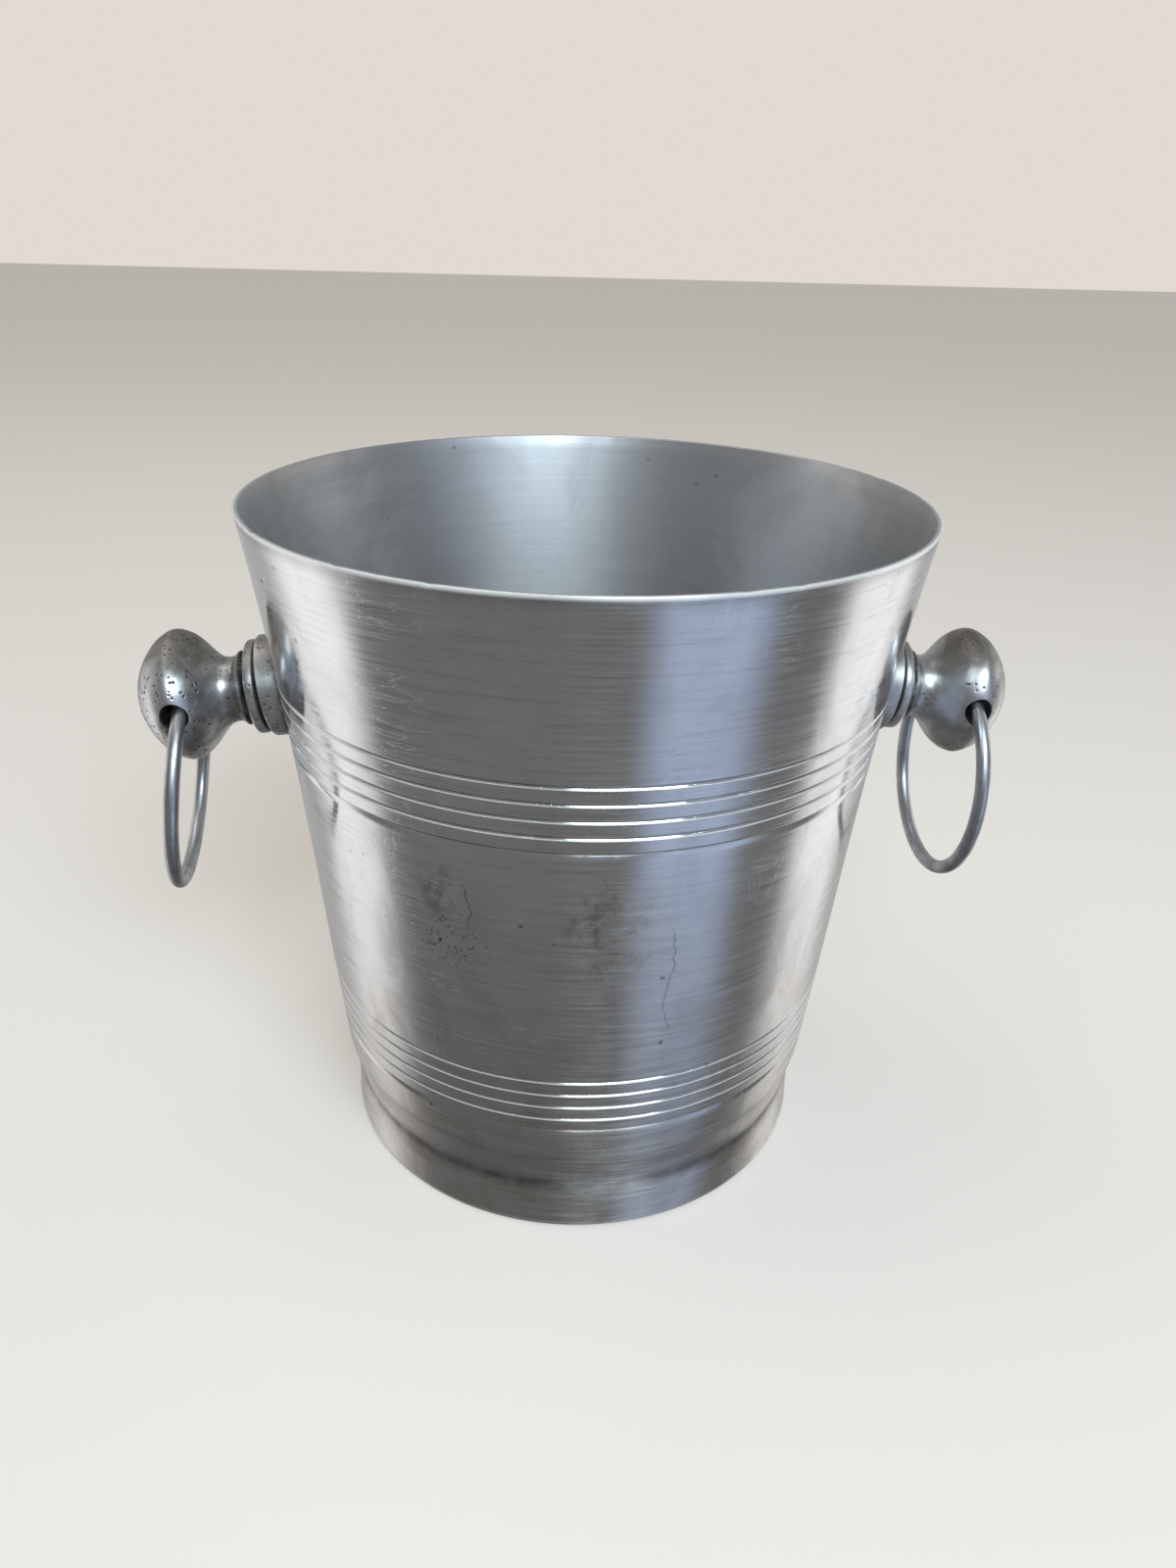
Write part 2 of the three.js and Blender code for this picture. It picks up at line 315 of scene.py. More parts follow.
def thread(t, turn, low, high, seed):
    """1 on a hair-thin line that wanders down the wall at one bearing, between two heights."""
    x, y, z = t.split(t.coords())
    bearing = t.math("ARCTAN2", x, t.mul(y, -1.0))
    sway = t.noise(t.vector(seed, seed, z), 70.0, 4.0, 0.6)
    path = t.add(t.mul(t.sub(sway, 0.5), 0.16), math.radians(turn) - HANDLE_TURN)
    off = t.math("ABSOLUTE", t.sub(bearing, path))
    line = t.between(off, 0.001, 0.004, 1.0, 0.0)
    rise = t.between(z, low * MM, (low + 4) * MM)
    return t.mul(line, t.mul(rise, t.between(z, (high - 4) * MM, high * MM, 1.0, 0.0)))


# ---- materials ----
def outer_metal():
    m, t = new_material("spun_outside")
    obj = t.coords()
    z = t.split(obj)[2]
    fine = t.noise(round_coords(t, 3.0, 900.0), 1.0, 4.0, 0.7)
    coarse = t.noise(round_coords(t, 1.2, 160.0), 1.0, 3.0, 0.6)
    cloud = t.noise(obj, 22.0, 4.0, 0.6, 0.4)
    patch = t.noise(scaled(t, obj, 1.0, 1.0, 0.55), 46.0, 5.0, 0.62, 1.2)

    # painted reflection: the lower half is tinted darker and browner, standing in for a brown table
    # reflected in the wall; dull, browned patches lie in a drift under the upper band, more of them low
    # down
    low = t.between(z, 0.02, 0.16, 1.0, 0.0)
    dull = t.mul(t.between(patch, 0.44, 0.64), t.between(low, 0.0, 1.0, 0.3, 1.0))
    tone = t.mix(low, (0.68, 0.68, 0.685), (0.56, 0.535, 0.51))
    tone = t.mix(t.mul(dull, 0.4), tone, (0.38, 0.34, 0.30))
    tone = t.mix(t.between(cloud, 0.35, 0.7, 0.0, 0.25), tone, (0.46, 0.45, 0.44))
    tone = t.mix(t.between(fine, 0.44, 0.72, 0.0, 0.24), tone, (0.86, 0.86, 0.85))
    tone = t.mix(t.between(fine, 0.5, 0.25, 0.0, 0.3), tone, (0.28, 0.26, 0.25))

    # dark hair lines and specks of old stains, in a few places
    spots = t.voronoi(obj, 125.0)
    where = t.between(t.noise(obj, 17.0, 2.0, 0.5), 0.56, 0.66)
    where = t.most(where, patch_at(t, obj, -40, 132, 15))
    where = t.most(where, patch_at(t, obj, -44, 190, 15))
    speck = t.mul(t.between(spots, 0.13, 0.05), where)
    squiggle = line_marks(t, obj, 105.0, 0.013, 1.7)
    squiggle = t.mul(squiggle, patch_at(t, obj, -22, 108, 13))
    hair = t.most(thread(t, 17, 79, 117, 3.0), thread(t, -19, 112, 130, 8.0))
    blot = t.noise(scaled(t, obj, 1.0, 1.0, 0.7), 110.0, 6.0, 0.7, 0.3)
    blot_zone = t.most(patch_at(t, obj, 10, 104, 15), patch_at(t, obj, 5, 122, 16))
    blot_zone = t.most(blot_zone, patch_at(t, obj, -24, 124, 11))
    blot = t.mul(t.between(blot, 0.47, 0.66), blot_zone)
    stain = t.most(t.mul(speck, 0.85), t.most(t.mul(hair, 0.5), t.mul(squiggle, 0.95)))
    tone = t.mix(t.mul(blot, 0.7), tone, (0.22, 0.155, 0.105))
    tone = t.mix(stain, tone, (0.075, 0.06, 0.045))

    # short bright scratches, mostly slanted
    slant = scaled(t, obj, 1.0, 1.0, 0.16)
    s1 = line_marks(t, slant, 240.0, 0.006, 0.0)
    s1 = t.mul(s1, t.between(t.noise(obj, 60.0, 1.0, 0.5), 0.6, 0.66, 0.0, 0.45))
    flat = scaled(t, obj, 0.12, 0.12, 1.0)
    s2 = line_marks(t, flat, 420.0, 0.006, 0.0)
    s2 = t.mul(s2, t.between(t.noise(obj, 44.0, 1.0, 0.5), 0.5, 0.6))
    scratch = t.most(s1, s2)
    tone = t.mix(t.mul(scratch, 0.6), tone, (0.96, 0.96, 0.95))

    # painted shade, with some grime: darker on each groove's upper flank and in the cove, and darker
    # just under the rim
    grime = t.attribute("grime")
    worn = t.between(t.noise(obj, 130.0, 3.0, 0.6), 0.3, 0.62, 0.55, 1.0)
    tone = t.mix(t.mul(grime, worn), tone, (0.085, 0.075, 0.065))
    # painted highlight: each groove's lower lip is whitened, roughened and made less metallic, as if
    # catching light from above; the rim's outer corner and the foot's curve are whitened the same way
    bright = t.attribute("edge")
    tone = t.mix(t.mul(bright, 0.95), tone, (0.84, 0.83, 0.8))

    rough = t.add(t.between(patch, 0.35, 0.7, 0.11, 0.18), t.mul(low, 0.09))
    rough = t.add(rough, t.mul(stain, 0.25))
    rough = t.add(rough, t.mul(grime, 0.25))
    rough = t.add(rough, t.between(fine, 0.3, 0.7, -0.03, 0.05))
    height = t.add(t.mul(fine, 0.55), t.mul(coarse, 0.8))
    height = t.sub(height, t.mul(scratch, 0.7))
    height = t.sub(height, t.mul(speck, 1.0))
    normal = t.bump(height, 0.22, 0.00012)
    rough = t.add(rough, t.mul(bright, 0.25))
    metallic_off_at_highlight = t.sub(1.0, t.mul(bright, 0.75))
    t.metal(tone, rough, normal, 1.0, "Z", 0.25, metallic_off_at_highlight)
    return m


def inner_metal():
    m, t = new_material("spun_inside")
    obj = t.coords()
    fine = t.noise(round_coords(t, 2.0, 700.0), 1.0, 3.0, 0.6)
    cloud = t.noise(obj, 26.0, 4.0, 0.6, 0.8)
    grain = t.noise(obj, 900.0, 2.0, 0.6)
    tone = t.mix(t.between(cloud, 0.35, 0.7), (0.56, 0.565, 0.57), (0.47, 0.465, 0.46))
    tone = t.mix(t.between(fine, 0.45, 0.75, 0.0, 0.2), tone, (0.72, 0.72, 0.72))
    spots = t.voronoi(obj, 140.0)
    where = t.between(t.noise(obj, 19.0, 2.0, 0.5), 0.52, 0.66)
    speck = t.mul(t.between(spots, 0.12, 0.04), where)
    tone = t.mix(t.mul(speck, 0.6), tone, (0.16, 0.14, 0.12))
    rough = t.add(t.between(cloud, 0.3, 0.7, 0.4, 0.5), t.mul(grain, 0.05))
    height = t.add(t.mul(fine, 0.6), t.mul(grain, 0.35))
    normal = t.bump(height, 0.3, 0.00012)
    t.metal(tone, rough, normal, 0.5, "Z")
    return m


def cast_metal(name, pitted):
    """Polished casting. pitted, from 0 to 1, is how far its skin has gone dull and holed, and how dark
    its painted top is.
    """
    m, t = new_material(name)
    obj = t.coords()
    z = t.split(obj)[2]
    cloud = t.noise(obj, 70.0, 4.0, 0.6, 0.6)
    grain = t.noise(obj, 1300.0, 3.0, 0.65)
    top = t.between(z, 0.152, 0.167)
    painted_brown_under = t.between(z, 0.139, 0.128)
    light = (0.66, 0.66, 0.665)
    dark = tuple(v - 0.14 * pitted for v in (0.44, 0.43, 0.415))
    tone = t.mix(t.between(cloud, 0.4, 0.62), light, dark)
    # painted dark reflection: the bulb's top is darkened by height alone, more so on the pitted knob,
    # and made a little rougher
    painted_dark_top = t.mul(top, t.between(cloud, 0.25, 0.6, 0.35 + 0.3 * pitted, 0.9))
    tone = t.mix(painted_dark_top, tone, (0.2, 0.18, 0.155))
    # painted reflection: the knob's underside is tinted brown, standing in for a brown table reflected
    # from below
    tone = t.mix(t.mul(painted_brown_under, 0.6), tone, (0.3, 0.22, 0.15))
    pits = t.voronoi(obj, 520.0)
    where = t.between(t.noise(obj, 80.0, 2.0, 0.5), 0.58 - 0.18 * pitted, 0.68 - 0.14 * pitted)
    pit = t.mul(t.between(pits, 0.34, 0.12), where)
    tone = t.mix(t.mul(pit, 0.85), tone, (0.05, 0.04, 0.032))
    marks = line_marks(t, scaled(t, obj, 0.3, 1.0, 1.0), 300.0, 0.008, 0.3)
    marks = t.mul(marks, t.between(t.noise(obj, 120.0, 1.0, 0.5), 0.52, 0.6))
    tone = t.mix(t.mul(marks, 0.4), tone, (0.8, 0.8, 0.8))
    # painted shade, with some grime, in the neck groove and on the collar's back against the spacer
    grime = t.attribute("grime")
    worn = t.between(t.noise(obj, 260.0, 3.0, 0.6), 0.3, 0.6, 0.6, 1.0)
    tone = t.mix(t.mul(grime, worn), tone, (0.035, 0.028, 0.022))
    bright = t.attribute("edge")
    tone = t.mix(t.mul(bright, 0.55), tone, (0.78, 0.78, 0.77))
    rough = t.add(t.between(cloud, 0.3, 0.7, 0.27, 0.38), t.mul(grain, 0.05))
    rough = t.add(rough, t.mul(t.most(grime, pit), 0.3))
    rough = t.add(rough, t.mul(painted_dark_top, 0.08 + 0.12 * pitted))
    height = t.sub(t.mul(grain, 0.35), t.mul(pit, 1.0))
    height = t.add(height, t.mul(cloud, 0.5))
    normal = t.bump(height, 0.3 + 0.2 * pitted, 0.0002)
    t.metal(tone, rough, normal, 0.3, "X")
    return m


def wire_metal():
    m, t = new_material("ring_wire")
    obj = t.coords()
    cloud = t.noise(obj, 120.0, 3.0, 0.6)
    grain = t.noise(obj, 1500.0, 3.0, 0.6)
    tone = t.mix(t.between(cloud, 0.35, 0.7), (0.52, 0.53, 0.55), (0.37, 0.37, 0.37))
    spots = t.between(t.voronoi(obj, 700.0), 0.28, 0.12)
    where = t.between(t.noise(obj, 150.0, 2.0, 0.5), 0.56, 0.66)
    tone = t.mix(t.mul(t.mul(spots, where), 0.7), tone, (0.08, 0.065, 0.05))
    marks = line_marks(t, obj, 520.0, 0.012, 0.2)
    marks = t.mul(marks, t.between(t.noise(obj, 210.0, 1.0, 0.5), 0.5, 0.6))
    tone = t.mix(t.mul(marks, 0.4), tone, (0.8, 0.8, 0.8))
    rough = t.add(t.between(cloud, 0.3, 0.7, 0.27, 0.38), t.mul(grain, 0.05))
    normal = t.bump(t.add(t.mul(grain, 0.4), cloud), 0.3, 0.00012)
    t.metal(tone, rough, normal)
    return m


def screw_metal():
    m, t = new_material("fastener_steel")
    obj = t.coords()
    cloud = t.noise(obj, 260.0, 4.0, 0.6)
    grain = t.noise(obj, 2200.0, 2.0, 0.6)
    tone = t.mix(t.between(cloud, 0.35, 0.65), (0.5, 0.49, 0.47), (0.3, 0.27, 0.23))
    rough = t.between(cloud, 0.3, 0.7, 0.3, 0.5)
    normal = t.bump(t.add(grain, cloud), 0.3, 0.0001)
    t.metal(tone, rough, normal)
    return m


# ---- mesh helpers ----
def link(name, mesh, material, body, stands_for):
    obj = bpy.data.objects.new(name, mesh)
    bpy.context.scene.collection.objects.link(obj)
    for mat in material if isinstance(material, (list, tuple)) else [material]:
        mesh.materials.append(mat)
    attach(obj, body)
    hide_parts(*stands_for)
    return obj


def turned(profile, segments, place, marks=None, part=None, shift=None):
    """A closed turned body. profile is (radius, height) pairs in millimetres that start and
    end on the axis, or join up; place maps (radius, angle, height) to a point."""
    bm = bmesh.new()
    layers = {}
    names = sorted({k for row in marks for k in row}) if marks else []
    for name in names:
        layers[name] = bm.verts.layers.float.new(name)
    rings = []
    for i, (r, h) in enumerate(profile):
        if r < 1e-6:
            ring = [bm.verts.new(place(0.0, 0.0, h))]
        else:
            ring = []
            for k in range(segments):
                a = TAU * k / segments
                dr, dh = shift(r, a, h, i) if shift else (0.0, 0.0)
                ring.append(bm.verts.new(place(r + dr, a, h + dh)))
        for name in names:
            for v in ring:
                v[layers[name]] = marks[i].get(name, 0.0)
        rings.append(ring)
    pairs = list(zip(range(len(rings) - 1), range(1, len(rings))))
    if len(rings[0]) > 1 and len(rings[-1]) > 1:
        pairs.append((len(rings) - 1, 0))
    for i, j in pairs:
        lower, upper = rings[i], rings[j]
        for k in range(segments):
            n = (k + 1) % segments
            a, b = lower[k % len(lower)], lower[n % len(lower)]
            c, d = upper[n % len(upper)], upper[k % len(upper)]
            corners = []
            for v in (a, b, c, d):
                if v not in corners:
                    corners.append(v)
            if len(corners) < 3:
                continue
            face = bm.faces.new(corners)
            face.smooth = True
            if part:
                face.material_index = part(i)
    bmesh.ops.recalc_face_normals(bm, faces=bm.faces)
    return bm


def to_mesh(bm, name, sharp=None):
    mesh = bpy.data.meshes.new(name)
    bm.to_mesh(mesh)
    bm.free()
    if sharp:
        mesh.set_sharp_from_angle(angle=math.radians(sharp))
    return mesh


def about_z(r, a, h):
    return Vector((r * math.cos(a), r * math.sin(a), h)) * MM


def on_mount(side):
    """Places a turned body on the mount line, whose origin is on the wall's outer face."""

    def place(r, a, h):
        drop = r * math.sin(a)
        out = WALL_X + h * math.cos(DROOP) + drop * math.sin(DROOP)
        up = KNOB_Z - h * math.sin(DROOP) + drop * math.cos(DROOP)
        return Vector((side * out, r * math.cos(a), up)) * MM

    return place


def across_mount(side):
    """Places a turned body on the eye's axis, which runs through the bulb along Y."""

    def place(r, a, h):
        x, z = r * math.cos(a), r * math.sin(a)
        return Vector((side * (EYE_OUT + x), h, EYE_Z + z)) * MM

    return place


def cut(obj, cutters):
    """Takes the cutters out of obj for good."""
    for c in cutters:
        mod = obj.modifiers.new("cut", "BOOLEAN")
        mod.operation, mod.solver, mod.object = "DIFFERENCE", "EXACT", c
    bpy.context.view_layer.update()
    made = obj.evaluated_get(bpy.context.evaluated_depsgraph_get())
    mesh = bpy.data.meshes.new_from_object(made)
    old = obj.data
    obj.modifiers.clear()
    obj.data = mesh
    mesh.name = old.name
    bpy.data.meshes.remove(old)
    for c in cutters:
        data = c.data
        bpy.data.objects.remove(c)
        bpy.data.meshes.remove(data)
    return obj


def cutter(bm, name):
    obj = bpy.data.objects.new(name, to_mesh(bm, name))
    bpy.context.scene.collection.objects.link(obj)
    return obj


def resample(points, step):
    """A smooth curve through the points (Catmull-Rom), in even short steps."""
    out = []
    last = len(points) - 1
    for i in range(last):
        p0, p1 = points[max(i - 1, 0)], points[i]
        p2, p3 = points[i + 1], points[min(i + 2, last)]
        n = max(1, round(math.dist(p1, p2) / step))
        for k in range(n):
            t = k / n
            out.append(
                tuple(
                    0.5
                    * (
                        2 * b
                        + (c - a) * t
                        + (2 * a - 5 * b + 4 * c - d) * t * t
                        + (3 * b - a - 3 * c + d) * t**3
                    )
                    for a, b, c, d in zip(p0, p1, p2, p3)
                )
            )
    out.append(tuple(points[-1]))
    return out


# ---- shell ----
def groove_cut(z):
    """Depth of the turned grooves at height z, and how far into a groove's upper flank."""
    for g in GROOVES:
        d = (z - g) / GROOVE_HALF
        if abs(d) < 1.35:
            deep = GROOVE_DEPTH * smooth(1.15 - abs(d) * 1.05)
            return deep, d
    return 0.0, 9.0


def shell_profile():
    """Outside from the foot to the rim, then down the inside to the floor."""
    foot_r = WALL_FOOT_R + FOOT_PROUD
    rows = []

    def put(r, z, grime=0.0, edge=0.0, inside=0):
        rows.append((r, z, grime, edge, inside))

    recess_r = WALL_FOOT_R * 0.86
    # the underside is darkened a little: painted shade, with some grime
    for i in range(24):
        r = recess_r * i / 24
        put(r, BASE_RECESS - 0.25 * (1 - (r / recess_r) ** 2), 0.15)
    for i in range(7):
        t = i / 6
        put(recess_r - 2.2 + 3.0 * t, BASE_RECESS * (1 - smooth(t)), 0.35)
    put(recess_r + 3, 0, 0.3)
    put((recess_r + foot_r) / 2, 0, 0.2)
    put(foot_r - 3.0, 0, 0.25)
    # the foot's curve is darkened towards the floor: painted shade, with some grime
    for i in range(9):
        a = (i / 8) * math.pi / 2
        r, h = foot_r - 1.2 + 1.5 * math.sin(a), 1.7 - 1.7 * math.cos(a)
        put(r, h, 0.5 * (1 - i / 8), 0.15)
    z = 2.2
    while z < SHOULDER_Z + 2:
        plain = wall_r(z) - tuck(z)
        t = smooth((z - (COVE_Z - COVE_HALF - 3)) / (COVE_HALF + 3))
        toe = foot_r + 0.3 * (1 - smooth(z / 11))
        base = toe + (plain - toe) * t
        dip = COVE_DEPTH * math.exp(-(((z - COVE_Z) / 2.4) ** 2))
        # painted shade, with some grime, in the cove and where the wall tucks in over the foot
        grime = 0.38 * math.exp(-(((z - COVE_Z + 0.2) / 1.8) ** 2))
        grime += 0.34 * math.exp(-(((z - COVE_Z) / 4.4) ** 2))
        grime += 0.2 * math.exp(-(((z - SHOULDER_Z + 2) / 1.4) ** 2))
        put(base - dip, z, min(grime, 0.8), 0.0)
        z += 0.5
    while z < HEIGHT - 0.55:
        deep, d = groove_cut(z)
        grime = 0.3 * smooth((z - HEIGHT + 5) / 4.4)
        edge = 0.0
        # each groove gets painted shade on its upper flank and a painted highlight along its lower lip,
        # as if lit from above
        if deep > 0:
            grime = max(grime, 0.9 * smooth(1.0 - abs(d - 0.3) * 1.5))
            edge = smooth(1 - abs(abs(d) - 0.95) * 2.6)
            edge = edge * (1.0 if d < 0 else 0.15)
        put(wall_r(z) - deep, z, grime, edge)
        near = any(abs(z - g) < GROOVE_HALF * 1.7 for g in GROOVES)
        z += 0.13 if near else 0.9
    # the rim is cut flat, with its corners just broken
    lip = WALL + 0.1
    for i in range(5):
        a = (i / 4) * math.pi / 2
        put(RIM_R - 0.35 + 0.35 * math.cos(a), HEIGHT - 0.35 + 0.35 * math.sin(a), 0.0, 0.9)
    put(RIM_R - lip / 2, HEIGHT, 0.25, 0.15)
    for i in range(5):
        a = (i / 4) * math.pi / 2
        r = RIM_R - lip + 0.4 - 0.4 * math.sin(a)
        put(r, HEIGHT - 0.4 + 0.4 * math.cos(a), 0.2, 0.1, 1)
    floor_top = BASE_RECESS + FLOOR
    z = HEIGHT - 2
    while z > floor_top + FILLET:
        put(wall_r(z) - tuck(z) - WALL - 0.3, z, 0.0, 0.0, 1)
        z -= 2.5
    wall_end = wall_r(floor_top + FILLET) - TUCK - WALL - 0.3
    # painted shade, with some grime, in the inside corner down to the floor
    for i in range(13):
        a = (i / 12) * math.pi / 2
        put(
            wall_end - FILLET + FILLET * math.cos(a),
            floor_top + FILLET - FILLET * math.sin(a),
            0.3 * math.sin(a),
            0.0,
            1,
        )
    for i in range(1, 25):
        r = (wall_end - FILLET) * (1 - i / 25)
        put(r, floor_top + 0.1 * math.cos(r / 2.6), 0.1, 0.0, 1)
    put(0.0, floor_top, 0.1, 0.0, 1)
    return rows


def make_shell(outside, inside):
    rows = shell_profile()
    profile = [(r, z) for r, z, *_ in rows]
    marks = [{"grime": g, "edge": e} for _, _, g, e, _ in rows]
    rng = random.Random(7)
    nicks = [(rng.uniform(0, TAU), rng.uniform(0.006, 0.02), rng.uniform(0.15, 0.5)) for _ in range(16)]
    dents = [
        (rng.uniform(0, TAU), rng.uniform(30, 200), rng.uniform(6, 16), rng.uniform(-0.12, 0.1))
        for _ in range(34)
    ]

    def shift(r, a, z, i):
        if z < 4 and r < 75:
            return 0.0, 0.0
        c, s = math.cos(a), math.sin(a)
        hold = smooth(z / 30)
        dr = 0.16 * hold * noise.noise(Vector((c * 1.6, s * 1.6, z / 60)))
        dr += 0.05 * hold * noise.noise(Vector((c * 6, s * 6, z / 18)))
        for ang, h, size, deep in dents:
            far = math.hypot(((a - ang + math.pi) % TAU - math.pi) * r, z - h)
            if far < size * 2:
                dr += deep * math.exp(-((far / size) ** 2) * 2)
        dh = 0.0
        if z > HEIGHT - 0.6:
            for ang, width, deep in nicks:
                off = ((a - ang + math.pi) % TAU - math.pi) / width
                dh -= deep * math.exp(-off * off) * 0.6
            dr = min(dr, 0.0)
        return dr, dh

    bm = turned(profile, 360, about_z, marks, lambda i: rows[i][4], shift)
    mesh = to_mesh(bm, "shell_metal", 50)
    obj = link("shell_metal", mesh, [outside, inside], "bucket", ["bucket_shell"])
    drills = []
    for side in (-1, 1):
        prof = [(0, -12), (HOLE_R, -12), (HOLE_R, 12), (0, 12)]
        drills.append(cutter(turned(prof, 32, on_mount(side)), "drill"))
    return cut(obj, drills)


# ---- knobs ----
def knob_points():
    """The knob's outline as (radius, distance along X) with grime and painted shade in its recesses,
    and edge wear.
    """
    cx, wx, cr = COLLAR_X, CREASE_X, COLLAR_R
    head = [
        (0.0, cx, 0.8, 0.0),
        (6.0, cx, 0.8, 0.0),
        (cr - 1.0, cx, 0.7, 0.0),
        (cr - 0.4, cx + 0.12, 0.4, 0.3),
        (cr - 0.05, cx + 0.5, 0.1, 0.7),
        (cr, cx + 1.2, 0.0, 0.3),
        (cr, cx + 2.2, 0.0, 0.35),
        (cr - 0.2, cx + 2.75, 0.0, 0.8),
        (cr - 0.7, cx + 3.1, 0.15, 0.5),
        (cr - 1.7, cx + 3.3, 0.7, 0.0),
        (11.5, cx + 3.55, 1.0, 0.0),
        (11.1, cx + 4.0, 1.0, 0.0),
        (11.05, cx + 4.7, 1.0, 0.0),
        (11.1, cx + 5.2, 0.8, 0.0),
        (11.4, cx + 5.6, 0.3, 0.5),
        (11.2, cx + 6.0, 0.1, 0.6),
    ]
    body = [
        (10.6, cx + 6.5),
        (10.0, cx + 7.4),
        (9.9, wx - 14.6),
        (10.4, wx - 12.8),
        (11.5, wx - 11.2),
        (12.9, wx - 9.8),
        (15.6, wx - 7.4),
        (17.9, wx - 5.0),
        (19.45, wx - 2.4),
        (20.0, wx),
        (19.4, wx + 2.2),
        (17.7, wx + 5.0),
        (15.1, wx + 7.6),
        (11.8, wx + 10.0),
        (7.9, wx + 12.0),
        (4.4, wx + 13.05),
        (0.0, wx + 13.5),
    ]
    fine = resample([(r, x) for r, x in body], 0.45)
    rows = list(head)
    for r, x in fine:
        crease = math.exp(-(((x - wx) / 0.7) ** 2)) if r > 18 else 0.0
        rows.append((max(r, 0.0), x, 0.0, 0.35 * crease))
    r, x, g, e = rows[-1]
    rows[-1] = (0.0, x, g, e)
    return rows


def cavity_points():
    wx = CREASE_X
    start = EYE_X - (RING_R + WIRE_R - RING_DROP) - 2.1
    pts = [(0.0, start), (9.0, start)]
    pts += [(13.6, wx - 7.4), (15.9, wx - 5.0), (17.5, wx - 2.4), (18.0, wx), (17.4, wx + 2.2)]
    pts += [(15.7, wx + 5.0), (13.1, wx + 7.6), (7.4, wx + 10.6), (0.0, wx + 11.4)]
    return pts


def make_knob(side, name, metal, seed):
    rows = knob_points()
    marks = [{"grime": g, "edge": e} for _, _, g, e in rows]

    def shift(r, a, h, i):
        p = Vector((r * math.cos(a) / 9, r * math.sin(a) / 9, h / 9 + seed))
        lump = 0.16 * noise.noise(p) + 0.05 * noise.noise(p * 3.1)
        return lump * smooth(r / 4) * (0.4 if i < 16 else 1.0), 0.0

    place = on_mount(side)
    bm = turned([(r, x) for r, x, _, _ in rows], 144, place, marks, None, shift)
    mesh = to_mesh(bm, name)
    obj = link(
        f"{name}_casting", mesh, metal, "bucket", [name]
    )
    cutters = [cutter(turned(cavity_points(), 64, place), "core")]
    # the eye is drilled across and its mouths are worn round
    mouth = 19.6
    prof = [(0, -26), (MOUTH_R + 2.6, -26), (MOUTH_R + 1.2, -mouth - 1.6)]
    for i in range(9):
        a = (i / 8) * math.pi / 2
        reach = MOUTH_R - EYE_R
        prof.append((MOUTH_R - reach * math.sin(a), -mouth + 1.3 - 1.3 * math.cos(a)))
    prof += [(r, -h) for r, h in reversed(prof)]
    cutters.append(cutter(turned(prof, 72, across_mount(side)), "eye"))
    bore_end = cavity_points()[0][1] - 2.3
    bore = [(0, COLLAR_X - 4), (HOLE_R, COLLAR_X - 4), (HOLE_R, bore_end), (0, bore_end)]
    cutters.append(cutter(turned(bore, 32, place), "bore"))
    cut(obj, cutters)
    obj.data.set_sharp_from_angle(angle=math.radians(38))
    return obj


# ---- spacers ----
def make_spacer(side, name, metal, seed):
    """A disc whose back follows the wall, and whose face leans away from the collar."""
    tilt = math.tan(0.045)
    face0 = COLLAR_X - 0.3 - tilt * COLLAR_R - 0.1
    cos_d, sin_d = math.cos(DROOP), math.sin(DROOP)
    segs = 120
    bm = bmesh.new()
    grime = bm.verts.layers.float.new("grime")
    edge = bm.verts.layers.float.new("edge")

    def wall_x(y, z):
        """Where a line along the mount meets the wall, 0.3 mm clear of it."""
        x = 0.0
        for _ in range(12):
            out = WALL_X + x * cos_d + z * sin_d
            up = KNOB_Z - x * sin_d + z * cos_d
            x += wall_r(up) + 0.3 - math.hypot(out, y)
        return x

    def point(r, a, x, g, e):
        y, z = r * math.cos(a), r * math.sin(a)
        bump = 0.03 * noise.noise(Vector((y / 5, z / 5, x / 5 + seed)))
        x += bump
        out = WALL_X + x * cos_d + z * sin_d
        up = KNOB_Z - x * sin_d + z * cos_d
        v = bm.verts.new(Vector((side * out, y, up)) * MM)
        v[grime], v[edge] = g, e
        return v

    loops = []
    # the face under the collar, the side towards the wall and the back against the wall are darkened:
    # painted shade, with some grime
    steps = [(HOLE_R, 0.0, 0.9, 0), (8.0, 0.0, 0.9, 0), (12.8, 0.0, 0.75, 0)]
    steps += [(14.6, 0.0, 0.35, 0.2), (15.3, 0.15, 0.0, 0.8), (SPACER_R, 0.5, 0.0, 0.6)]
    for r, back, g, e in steps:
        loops.append(
            [
                point(r, a, face0 + tilt * r * math.sin(a) - back, g, e)
                for a in (TAU * k / segs for k in range(segs))
            ]
        )
    for share in (0.25, 0.5, 0.75, 0.93, 1.0):
        row = []
        for k in range(segs):
            a = TAU * k / segs
            y, z = SPACER_R * math.cos(a), SPACER_R * math.sin(a)
            front = face0 + tilt * z - 0.5
            back = wall_x(y, z)
            row.append(point(SPACER_R, a, front + (back - front) * share, share**4 * 0.9, 0.1))
        loops.append(row)
    for r in (12.0, 8.0, 5.0, HOLE_R):
        loops.append(
            [
                point(r, a, wall_x(r * math.cos(a), r * math.sin(a)), 0.9, 0.0)
                for a in (TAU * k / segs for k in range(segs))
            ]
        )
    for lower, upper in zip(loops, loops[1:] + loops[:1]):
        for k in range(segs):
            n = (k + 1) % segs
            f = bm.faces.new((lower[k], lower[n], upper[n], upper[k]))
            f.smooth = True
    bmesh.ops.recalc_face_normals(bm, faces=bm.faces)
    mesh = to_mesh(bm, f"{name}_casting", 40)
    return link(f"{name}_casting", mesh, metal, "bucket", [name])


